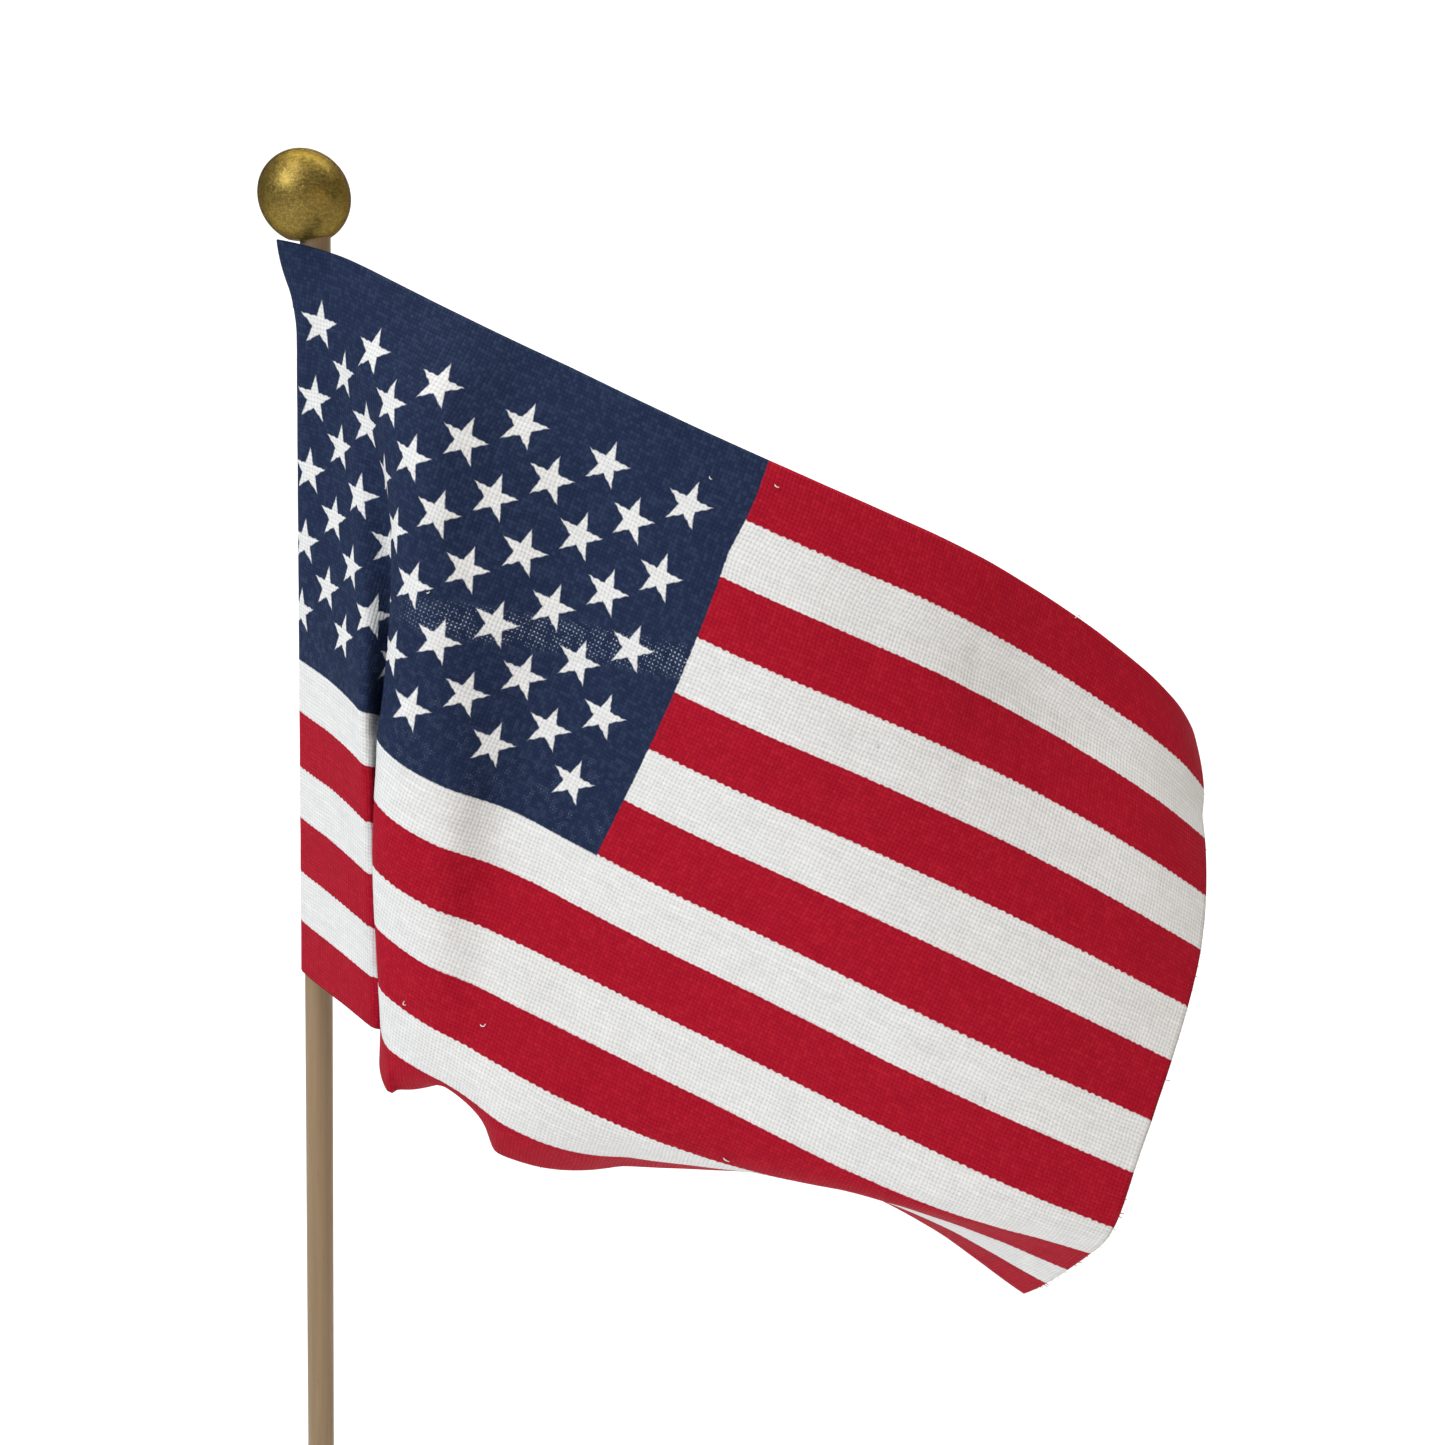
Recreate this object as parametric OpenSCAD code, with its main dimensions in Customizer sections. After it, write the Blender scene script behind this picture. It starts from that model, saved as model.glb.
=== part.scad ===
// Desk flag stand: a small printed cotton flag on a wooden staff with a gilt
// ball, standing in a weighted moulded base.  Millimetres, +Z up.
// The origin is the centre of the base's resting face, on the staff's axis.
// +X runs from the staff along the flag's fly, and -Y is the flag's front.

/* [Staff] */
// Diameter of the wooden dowel (5/32 in)
staff_d = 3.97; // [3.8:0.01:4.8]
// Length of the dowel (10 in)
staff_len = 254; // [240:1:280]
// Chamfer round both ends of the dowel
staff_chamfer = 0.4; // [0.2:0.1:0.8]

/* [Finial ball] */
// Diameter of the gilt ball
ball_d = 12; // [11:0.1:14]
// How far the ball was drilled off its own centre
ball_off = 1.4; // [0:0.1:2]
// Depth of the blind hole that the dowel is glued into
ball_hole_depth = 6.4; // [5:0.1:7]
// Height cut off the ball to make its flat underside
ball_flat = 0.4; // [0.3:0.1:1]

/* [Flag] */
// Length of the cloth along the staff
flag_hoist = 101.6; // [100:0.1:103]
// Length of the cloth away from the staff
flag_fly = 152.4; // [150:0.1:155]
// Height of the starred field, seven of the thirteen stripes
canton_h = 54.7; // [50:0.1:58]
// Thickness of the cloth solid
cloth_t = 0.5; // [0.4:0.05:0.6]
// Gap between the ball's underside and the top corner of the cloth
cloth_drop = 0.2; // [0.1:0.1:2]

/* [Staples] */
// Thickness of the staple wire
wire_d = 0.5; // [0.4:0.05:0.7]
// Length of a staple's crown
staple_len = 5; // [4:0.5:8]
// Depth that a staple's legs reach into the dowel
staple_leg = 1.8; // [1:0.1:2]
// How far the lower staples stand round to the back, in degrees
staple_turn = 40; // [0:5:60]

/* [Base] */
// Diameter of the base (2 1/4 in)
base_d = 57; // [50:1:70]
// Height of the base above the table
base_h = 20; // [18:0.5:26]
// Wall thickness of the moulding
base_wall = 2; // [1.5:0.1:3]
// Diameter of the boss round the socket
boss_d = 14; // [12:0.5:16]
// Thickness of the felt pad
pad_t = 1.2; // [0.8:0.1:2]
// Thickness of the steel ballast ring
weight_t = 4; // [3:0.5:4]

/* [Socket] */
// Wall thickness of the brass cup that lines the socket
cup_wall = 0.9; // [0.6:0.1:1.2]
// Diameter of the cup's rim
cup_rim_d = 10.4; // [9:0.1:12]
// Radial running clearance, staff in cup and cup in base
fit_gap = 0.04; // [0.02:0.01:0.08]

/* [Hidden] */

$fn = 96;
slip = 0.01;

// socket
cup_bore_r = staff_d / 2 + fit_gap;
cup_r = cup_bore_r + cup_wall;
cup_floor_z = 5;                      // inside floor of the cup, where the staff rests
cup_bottom_z = cup_floor_z - cup_wall;
cup_rim_t = 1;
socket_r = cup_r + fit_gap;
socket_floor_z = cup_bottom_z;

// base
base_edge_h = 4;                      // straight edge above the pad
step_w = 2.5;                         // small shelf above the edge
step_h = 1;
hollow_r = base_d / 2 - step_w - base_wall - 1;
hollow_top_z = pad_t + weight_t + 1.2;
weight_gap = 0.5;                     // ballast to the hollow's side
weight_hole_gap = 0.02;               // ballast to the boss it is pressed on

// staff and ball
staff_top_z = cup_floor_z + staff_len;
ball_under_z = staff_top_z - ball_hole_depth;
ball_r = ball_d / 2;
ball_z = ball_under_z + ball_r - ball_flat;

// flag
flag_top_z = ball_under_z - cloth_drop;
wrap_r = staff_d / 2 + 0.12 + cloth_t / 2;   // mid-surface of the cloth round the dowel
shoulder_h = 12;                      // height on the cloth where the tuck starts to open
wrap_steps = 12;                      // short mesh steps round the dowel
face_steps = 44;                      // and longer ones over the rest
steps_u = wrap_steps + face_steps;
steps_v = 26;
wrap_sub = 2;                         // strides in a short step, and in a longer one
face_sub = 6;
strides = wrap_steps * wrap_sub + face_steps * face_sub;

// The drape is a path walked along the cloth from the hoist to the fly.  Each
// station gives how far along the cloth it is (mm), and the way the path then
// heads, in degrees towards the front from +X, each at four heights on the
// cloth: top edge, shoulder, foot of the canton and hem.
STATIONS = [
    // the wrap round the dowel
    [[0, 0, 0, 0],                  [11, 145, 232, 283]],
    [[4.5, 5.5, 7.6, 9.6],          [5, 11, 47, 50]],
    // the first panel's crest, and the tuck that folds back behind it
    [[8, 13, 27, 28],               [19, 55, 57, 39]],
    [[9.5, 14.5, 28.5, 31.5],       [26, 54, -74, -153]],
    [[11, 16, 31.5, 39],            [29, 49, -81, -58]],
    // the second panel comes forward
    [[12.5, 17.5, 35, 41],          [27, 49, 104, 100]],
    [[15, 20, 36.5, 54],            [23, 41, 150, 49]],
    [[29.5, 30.5, 38.5, 57.5],      [18, 24, 58, 20]],
    // the broad face, whose free end curls to the back
    [[31, 32, 54.5, 63.5],          [14, 4, -28, 31]],
    [[35, 45.5, 55.5, 70],          [9, -7, -22, 37]],
    [[48, 58, 64.5, 91.5],          [20, 21, 17, 2]],
    [[107.5, 110.5, 116.5, 126],    [-21, -24, 10, 17]],
    [[133.5, 133, 140.5, 142.5],    [-19, -7, -6, 16]],
    [[153, 153, 153, 153],          [-64, -43, -7, 11]]
];
// How far the weft threads dip below level, by distance from the hoist, at the
// same four heights
DIP = [
    [0,   [7, 10, 10, 7.5]],
    [15,  [21, 15, 7, 3]],
    [40,  [21, 22, 23, 21]],
    [90,  [20, 20.5, 18.5, 21.5]],
    [153, [41, 35, 25, 12.5]]
];
// The lower edge rolls under along a straight crease, by distance from the hoist
ROLL = [[54, 25], [62, 81], [72, 36], [90, 67], [118, 77], [153, 63]];
roll_u = 90;                          // a point on the crease, and the crease's slope
roll_v = 86.3;
roll_slope = -0.26;
roll_w = 12;                          // width of cloth that the bend takes up
roll_axis_dip = 26;

// ---- Small helpers

function mix(a, b, t) = a + (b - a) * t;
function ease(t) = let (c = min(max(t, 0), 1)) c * c * (3 - 2 * c);
function unit(v) = v / norm(v);

// Value at a height on the cloth, from its values at the four heights
function at_height(four, v) =
    lookup(v, [[0, four[0]], [shoulder_h, four[1]], [canton_h, four[2]], [flag_hoist, four[3]]]);

// Turns vector v about the unit axis a
function turned(v, a, angle) =
    v * cos(angle) + cross(a, v) * sin(angle) + a * (a * v) * (1 - cos(angle));

module ring(r, z0, z1, hole_r) {
    difference() {
        translate([0, 0, z0]) cylinder(r = r, h = z1 - z0);
        translate([0, 0, z0 - 1]) cylinder(r = hole_r, h = z1 - z0 + 2);
    }
}

// ---- Base

// Outside of the moulding, from its edge up the dome to the boss
function base_outline() = concat(
    [[0, pad_t], [base_d / 2 - 0.6, pad_t], [base_d / 2, pad_t + 0.6],
     [base_d / 2, pad_t + base_edge_h], [base_d / 2 - 0.6, pad_t + base_edge_h + 0.6],
     [base_d / 2 - step_w, pad_t + base_edge_h + 0.6],
     [base_d / 2 - step_w, pad_t + base_edge_h + 0.6 + step_h]],
    [for (i = [1:12])
        let (t = i / 12, r0 = base_d / 2 - step_w, r1 = boss_d / 2,
             z0 = pad_t + base_edge_h + 0.6 + step_h, z1 = base_h - 4)
        [mix(r0, r1, t), mix(z0, z1, (sin(90 * t) + t * t) / 2)]],
    [[boss_d / 2, base_h - 0.6], [boss_d / 2 - 0.6, base_h], [0, base_h]]
);

module base_shell() {
    color([0.04, 0.04, 0.045])
    difference() {
        rotate_extrude() polygon(base_outline());
        // hollow underside, left solid round the socket
        difference() {
            cylinder(r = hollow_r, h = hollow_top_z);
            cylinder(r = boss_d / 2, h = base_h);
        }
        translate([0, 0, socket_floor_z]) cylinder(r = socket_r, h = base_h);
    }
}

module base_weight() {
    color([0.45, 0.46, 0.48])
    ring(hollow_r - weight_gap, pad_t + 1, pad_t + 1 + weight_t, boss_d / 2 + weight_hole_gap);
}

module base_pad() {
    color([0.02, 0.12, 0.06])
    cylinder(r = base_d / 2 - 0.8, h = pad_t);
}

// ---- Socket cup

module socket_cup() {
    color([0.78, 0.6, 0.25])
    difference() {
        union() {
            translate([0, 0, cup_bottom_z]) cylinder(r = cup_r, h = base_h - cup_bottom_z + cup_rim_t);
            translate([0, 0, base_h + slip]) cylinder(d = cup_rim_d, h = cup_rim_t - slip);
        }
        translate([0, 0, cup_floor_z]) cylinder(r = cup_bore_r, h = base_h);
    }
}

// ---- Staff and ball

module staff() {
    color([0.8, 0.64, 0.42])
    translate([0, 0, cup_floor_z])
    rotate_extrude()
    polygon([[0, 0], [staff_d / 2 - staff_chamfer, 0], [staff_d / 2, staff_chamfer],
             [staff_d / 2, staff_len - staff_chamfer], [staff_d / 2 - staff_chamfer, staff_len],
             [0, staff_len]]);
}

module finial_ball() {
    color([0.62, 0.5, 0.16])
    difference() {
        translate([-ball_off, 0, ball_z]) sphere(r = ball_r);
        translate([-ball_r - ball_off, -ball_r, ball_under_z - ball_r]) cube([ball_d, ball_d, ball_r]);
        translate([0, 0, ball_under_z - 1]) cylinder(d = staff_d, h = ball_hole_depth + 1);
    }
}

// ---- Flag

function heading(u, v) =
    lookup(u, [for (s = STATIONS) [at_height(s[0], v), at_height(s[1], v)]]);

function dip(u, v) = lookup(u, [for (d = DIP) [d[0], at_height(d[1], v)]]);

// Strides walked from the hoist to mesh column i, and that column's place on the cloth
function strides_to(i) =
    i <= wrap_steps ? i * wrap_sub : wrap_steps * wrap_sub + (i - wrap_steps) * face_sub;
function column_u(i) = strides_to(i) * flag_fly / strides;

// One short stride along a weft thread
function stride(u, v, len) =
    let (a = heading(u, v), d = dip(u, v))
    len * [cos(d) * cos(a), -cos(d) * sin(a), -sin(d)];

// Keeps the cloth on the outside of the dowel
function clear(p) = let (r = norm([p.x, p.y]), k = max(wrap_r / r, 1)) [p.x * k, p.y * k, p.z];

// One weft thread, as points at the mesh columns from the hoist to the fly
function thread(v) =
    let (du = flag_fly / strides,
         fine = [for (i = 0, p = [0, 0, 0]; i <= strides;
                      p = p + stride((i + 0.5) * du, v, du), i = i + 1) p],
         // the thread leaves the dowel where the wrap ends
         leave_a = at_height(STATIONS[1][1], v),
         k = round(at_height(STATIONS[1][0], v) / du),
         start = wrap_r * [-sin(leave_a), -cos(leave_a), 0] - [fine[k].x, fine[k].y, 0])
    [for (i = [0:steps_u]) clear(fine[strides_to(i)] + start + [0, 0, flag_top_z - v])];

function roll_angle(u, v) =
    u < ROLL[0][0] ? 0
    : lookup(u, ROLL) * ease((v - roll_v - roll_slope * (u - roll_u) + 5) / roll_w);

// One warp thread, rolled under below the crease
function rolled(column, u) =
    let (axis = [cos(roll_axis_dip), 0, -sin(roll_axis_dip)], dv = flag_hoist / steps_v)
    [for (j = 0, p = column[0]; j <= steps_v;
          p = j < steps_v ? p + turned(column[j + 1] - column[j], axis, roll_angle(u, (j + 0.5) * dv)) : p,
          j = j + 1) p];

module flag_cloth() {
    flat = [for (j = [0:steps_v]) thread(j * flag_hoist / steps_v)];
    mid = [for (i = [0:steps_u]) rolled([for (j = [0:steps_v]) flat[j][i]], column_u(i))];
    normals = [for (i = [0:steps_u]) [for (j = [0:steps_v])
        unit(cross(mid[min(i + 1, steps_u)][j] - mid[max(i - 1, 0)][j],
                   mid[i][min(j + 1, steps_v)] - mid[i][max(j - 1, 0)]))]];
    rows = steps_v + 1;
    half = (steps_u + 1) * rows;
    points = [for (side = [-1, 1]) for (i = [0:steps_u]) for (j = [0:steps_v])
        mid[i][j] + side * normals[i][j] * cloth_t / 2];
    function at(side, i, j) = side * half + i * rows + j;
    function quad(a, b, c, d) = [[a, b, c], [a, c, d]];
    skins = [for (i = [0:steps_u - 1]) for (j = [0:steps_v - 1]) each concat(
        quad(at(0, i, j), at(0, i + 1, j), at(0, i + 1, j + 1), at(0, i, j + 1)),
        quad(at(1, i, j), at(1, i, j + 1), at(1, i + 1, j + 1), at(1, i + 1, j)))];
    long_edges = [for (i = [0:steps_u - 1]) each concat(
        quad(at(0, i, 0), at(1, i, 0), at(1, i + 1, 0), at(0, i + 1, 0)),
        quad(at(0, i, steps_v), at(0, i + 1, steps_v), at(1, i + 1, steps_v), at(1, i, steps_v)))];
    short_edges = [for (j = [0:steps_v - 1]) each concat(
        quad(at(0, 0, j), at(0, 0, j + 1), at(1, 0, j + 1), at(1, 0, j)),
        quad(at(0, steps_u, j), at(1, steps_u, j), at(1, steps_u, j + 1), at(0, steps_u, j + 1)))];
    color([0.7, 0.12, 0.2]) polyhedron(points, concat(skins, long_edges, short_edges));
}

// ---- Staples

// A staple with its crown upright on the dowel's left, pressed over the cloth,
// or turned from there towards the back
module staple(z, turn) {
    reach = wrap_r + cloth_t / 2 + wire_d / 2;
    rotate([0, 0, -turn]) translate([-reach, 0, z]) {
        cylinder(d = wire_d, h = staple_len, center = true, $fn = 24);
        for (end = [-1, 1])
            translate([0, 0, end * (staple_len - wire_d) / 2])
                rotate([0, 90, 0]) cylinder(d = wire_d, h = staple_leg, $fn = 24);
    }
}

module hoist_staples() {
    color([0.8, 0.82, 0.84])
    staple(flag_top_z - 6, 0);
    for (z = [flag_top_z - flag_hoist / 2, flag_top_z - flag_hoist + 8])
        staple(z, staple_turn);
}

base_shell();
base_weight();
base_pad();
socket_cup();
staff();
finial_ball();
flag_cloth();
hoist_staples();
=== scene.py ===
import math

import bpy
import numpy as np
from mathutils import Matrix, Vector


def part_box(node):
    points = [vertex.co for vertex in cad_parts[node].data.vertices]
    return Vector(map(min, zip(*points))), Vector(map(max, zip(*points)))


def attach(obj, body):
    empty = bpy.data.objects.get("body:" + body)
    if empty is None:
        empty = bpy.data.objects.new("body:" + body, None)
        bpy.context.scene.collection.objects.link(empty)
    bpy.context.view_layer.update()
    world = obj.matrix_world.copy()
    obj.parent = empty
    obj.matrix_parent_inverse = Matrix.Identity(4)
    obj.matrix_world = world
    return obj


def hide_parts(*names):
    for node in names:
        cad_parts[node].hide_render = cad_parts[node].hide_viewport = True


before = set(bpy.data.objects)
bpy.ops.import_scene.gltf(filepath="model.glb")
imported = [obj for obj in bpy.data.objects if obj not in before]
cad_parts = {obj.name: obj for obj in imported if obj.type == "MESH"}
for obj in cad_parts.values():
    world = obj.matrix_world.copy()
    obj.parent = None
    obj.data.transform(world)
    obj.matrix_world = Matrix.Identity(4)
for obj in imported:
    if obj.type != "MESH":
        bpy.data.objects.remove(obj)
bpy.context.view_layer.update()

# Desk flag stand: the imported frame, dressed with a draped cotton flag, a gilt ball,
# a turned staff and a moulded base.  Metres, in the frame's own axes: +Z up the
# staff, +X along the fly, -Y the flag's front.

MM = 0.001


# ---- Places taken from the frame

def box_of(node):
    low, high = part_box(node)
    return np.array(low), np.array(high)


staff_low, staff_high = box_of("staff")
ball_low, ball_high = box_of("finial_ball")
_, cloth_high = box_of("flag_cloth")

staff_r = (staff_high[0] - staff_low[0]) / 2
ball_r = (ball_high[0] - ball_low[0]) / 2
ball_centre = np.array([(ball_low[0] + ball_high[0]) / 2, 0.0, ball_high[2] - ball_r])
ball_under = ball_low[2]


# ---- Camera, at the photograph's viewing angle: close in front, a little above.
# Its place, tilt, roll and lens come from a numerical fit.

CAMERA_X = 57.4 * MM          # right of the staff's axis
CAMERA_Y = -209.4 * MM        # in front of it
CAMERA_DROP = 20.2 * MM       # below the ball's centre
CAMERA_DOWN = 12.8            # degrees
CAMERA_ROLL = 3.2             # degrees
LENS = 37.8                   # on a 36 mm sensor


def add_camera():
    data = bpy.data.cameras.new("camera")
    data.sensor_width = 36.0
    data.lens = LENS
    data.clip_start = 0.01
    camera = bpy.data.objects.new("camera", data)
    bpy.context.scene.collection.objects.link(camera)
    place = Matrix.Translation((CAMERA_X, CAMERA_Y, float(ball_centre[2]) - CAMERA_DROP))
    tilt = Matrix.Rotation(math.radians(90 - CAMERA_DOWN), 4, "X")
    roll = Matrix.Rotation(math.radians(CAMERA_ROLL), 4, "Z")
    camera.matrix_world = place @ tilt @ roll
    bpy.context.scene.camera = camera
    return camera


camera = add_camera()


# ---- Mesh helpers

def mesh_piece(name, points, faces, materials, face_slots=None, smooth=True):
    mesh = bpy.data.meshes.new(name)
    mesh.from_pydata([tuple(p) for p in points], [], faces)
    for material in materials:
        mesh.materials.append(material)
    if face_slots is not None:
        mesh.polygons.foreach_set("material_index", face_slots)
    mesh.polygons.foreach_set("use_smooth", [smooth] * len(mesh.polygons))
    mesh.update()
    piece = bpy.data.objects.new(name, mesh)
    bpy.context.scene.collection.objects.link(piece)
    return piece


def tube(path, radius, sides=6, taper=0.0):
    """Points and faces of a capped tube along a path; taper narrows it to its far end."""
    path = np.asarray(path, float)
    count = len(path)
    along = np.gradient(path, axis=0)
    along /= np.linalg.norm(along, axis=1)[:, None]
    side = np.cross(along[0], [0.3, 0.5, 0.8])
    points = []
    for k in range(count):
        side = side - along[k] * side.dot(along[k])
        side /= np.linalg.norm(side)
        up = np.cross(along[k], side)
        r = radius * (1 - taper * k / (count - 1))
        for s in range(sides):
            a = 2 * math.pi * s / sides
            points.append(path[k] + r * (side * math.cos(a) + up * math.sin(a)))
    faces = []
    for k in range(count - 1):
        for s in range(sides):
            n = (s + 1) % sides
            faces.append((k * sides + s, k * sides + n, (k + 1) * sides + n, (k + 1) * sides + s))
    faces.append(tuple(reversed(range(sides))))
    faces.append(tuple((count - 1) * sides + s for s in range(sides)))
    return points, faces


def turned_piece(name, profile, turns, materials):
    """A solid of revolution about Z, from (radius, height) pairs that start and end on the axis."""
    points = [(0, 0, profile[0][1])]
    faces = []
    for r, z in profile[1:-1]:
        for k in range(turns):
            a = 2 * math.pi * k / turns
            points.append((r * math.cos(a), r * math.sin(a), z))
    points.append((0, 0, profile[-1][1]))
    rings = len(profile) - 2
    for k in range(turns):
        n = (k + 1) % turns
        faces.append((0, 1 + n, 1 + k))
        for j in range(rings - 1):
            a, b = 1 + j * turns, 1 + (j + 1) * turns
            faces.append((a + k, a + n, b + n, b + k))
        last = 1 + (rings - 1) * turns
        faces.append((last + k, last + n, len(points) - 1))
    return mesh_piece(name, points, faces, materials)


# ---- Shader helpers

class Graph:
    """A node material being built; inputs may be numbers or sockets."""

    def __init__(self, name):
        self.material = bpy.data.materials.new(name)
        self.material.use_nodes = True
        self.nodes = self.material.node_tree.nodes
        self.links = self.material.node_tree.links
        self.shader = self.nodes["Principled BSDF"]

    def feed(self, socket, value):
        if isinstance(value, bpy.types.NodeSocket):
            self.links.new(value, socket)
        else:
            socket.default_value = value

    def math(self, operation, a, b=0.0, c=0.0, clamp=False):
        node = self.nodes.new("ShaderNodeMath")
        node.operation = operation
        node.use_clamp = clamp
        for socket, value in zip(node.inputs, (a, b, c)):
            self.feed(socket, value)
        return node.outputs[0]

    def add(self, a, b):
        return self.math("ADD", a, b)

    def sub(self, a, b):
        return self.math("SUBTRACT", a, b)

    def mul(self, a, b):
        return self.math("MULTIPLY", a, b)

    def step(self, value, low, high, out_low=0.0, out_high=1.0):
        """Smooth step of value from low to high."""
        node = self.nodes.new("ShaderNodeMapRange")
        node.interpolation_type = "SMOOTHSTEP"
        for key, v in (("Value", value), ("From Min", low), ("From Max", high),
                       ("To Min", out_low), ("To Max", out_high)):
            self.feed(node.inputs[key], v)
        return node.outputs[0]

    def vector(self, x, y, z=0.0):
        node = self.nodes.new("ShaderNodeCombineXYZ")
        for socket, value in zip(node.inputs, (x, y, z)):
            self.feed(socket, value)
        return node.outputs[0]

    def split(self, vector):
        node = self.nodes.new("ShaderNodeSeparateXYZ")
        self.links.new(vector, node.inputs[0])
        return node.outputs[0], node.outputs[1], node.outputs[2]

    def noise(self, vector, scale, detail=2.0, rough=0.5, kind="FBM"):
        node = self.nodes.new("ShaderNodeTexNoise")
        node.noise_type = kind
        self.links.new(vector, node.inputs["Vector"])
        node.inputs["Scale"].default_value = scale
        node.inputs["Detail"].default_value = detail
        node.inputs["Roughness"].default_value = rough
        return node.outputs["Fac"]

    def stretched(self, vector, scale):
        node = self.nodes.new("ShaderNodeMapping")
        self.links.new(vector, node.inputs["Vector"])
        node.inputs["Scale"].default_value = scale
        return node.outputs[0]

    def random(self, vector):
        node = self.nodes.new("ShaderNodeTexWhiteNoise")
        node.noise_dimensions = "2D"
        self.links.new(vector, node.inputs["Vector"])
        return node.outputs["Value"]

    def mix(self, factor, a, b, blend="MIX"):
        node = self.nodes.new("ShaderNodeMix")
        node.data_type = "RGBA"
        node.blend_type = blend
        self.feed(node.inputs["Factor"], factor)
        self.feed(node.inputs["A"], a)
        self.feed(node.inputs["B"], b)
        return node.outputs["Result"]

    def ramp(self, value, stops):
        node = self.nodes.new("ShaderNodeValToRGB")
        self.links.new(value, node.inputs[0])
        while len(node.color_ramp.elements) < len(stops):
            node.color_ramp.elements.new(0.5)
        for element, (at, colour) in zip(node.color_ramp.elements, stops):
            element.position = at
            element.color = colour
        return node.outputs[0]

    def bump(self, height, distance, strength=1.0, under=None):
        node = self.nodes.new("ShaderNodeBump")
        node.inputs["Strength"].default_value = strength
        node.inputs["Distance"].default_value = distance
        self.links.new(height, node.inputs["Height"])
        if under is not None:
            self.links.new(under, node.inputs["Normal"])
        return node.outputs[0]

    def object_coords(self):
        return self.nodes.new("ShaderNodeTexCoord").outputs["Object"]

    def uv(self, name):
        node = self.nodes.new("ShaderNodeUVMap")
        node.uv_map = name
        return node.outputs[0]

    def finish(self, **inputs):
        names = {"color": "Base Color", "rough": "Roughness", "normal": "Normal", "metal": "Metallic",
                 "sheen": "Sheen Weight", "sheen_rough": "Sheen Roughness", "coat": "Coat Weight",
                 "coat_rough": "Coat Roughness", "specular": "Specular IOR Level",
                 "tint": "Specular Tint"}
        for key, value in inputs.items():
            self.feed(self.shader.inputs[names[key]], value)
        return self.material


def rgb(r, g, b):
    """Colour given as it looks on a screen, 0 to 255, turned into the shader's linear values."""
    def linear(c):
        c /= 255
        return c / 12.92 if c <= 0.04045 else ((c + 0.055) / 1.055) ** 2.4
    return (linear(r), linear(g), linear(b), 1.0)


# ---- The flag's print, in millimetres of flat cloth: x from the hoist, y down from the top edge

FLY = 152.4
HOIST = 101.6
STRIPE = 15.63            # one red and one white stripe
RED_HALF = 4.05           # half the width of a red stripe: the ink spreads a little
CANTON = (72.9, 55.0)
STAR_R = 3.05
STAR_INNER = 0.385        # notch radius, as a share of the point radius
STAR_X, STAR_Y = 7.2, 9.3           # first star's centre
STAR_DX, STAR_DY = 11.7, 9.64       # star pitch within a row, and of every second row
WARP = 0.52                         # thread pitch along the fly
WEFT = 0.54                         # thread pitch down the hoist


# Each ink where it lies thin, and where it lies thick
INKS = {"white": ((216, 217, 218), (228, 229, 230)),
        "red": ((154, 8, 32), (170, 18, 44)),
        "navy": ((24, 36, 64), (34, 46, 76))}


def star_distance(g, x, y, x0, y0, last_column, last_row):
    """Signed distance in mm to the nearest star of one rectangular lattice, negative inside."""
    def nearest(value, first, pitch, last):
        number = g.math("ROUND", g.math("DIVIDE", g.sub(value, first), pitch))
        return g.math("MINIMUM", g.math("MAXIMUM", number, 0.0), last)

    column = nearest(x, x0, STAR_DX, last_column)
    row = nearest(y, y0, STAR_DY, last_row)
    dx = g.sub(g.sub(x, x0), g.mul(column, STAR_DX))
    dy = g.sub(g.sub(y, y0), g.mul(row, STAR_DY))
    radius = g.math("SQRT", g.add(g.mul(dx, dx), g.mul(dy, dy)))
    angle = g.math("ARCTAN2", dx, g.mul(dy, -1.0))
    tenth = math.pi / 5
    folded = g.math("ABSOLUTE", g.math("WRAP", angle, tenth, -tenth))
    px = g.mul(radius, g.math("SINE", folded))
    py = g.mul(radius, g.math("COSINE", folded))
    inner = STAR_INNER * STAR_R
    nx, ny = STAR_R - inner * math.cos(tenth), inner * math.sin(tenth)
    size = math.hypot(nx, ny)
    return g.add(g.mul(px, nx / size), g.mul(g.sub(py, STAR_R), ny / size))


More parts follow.
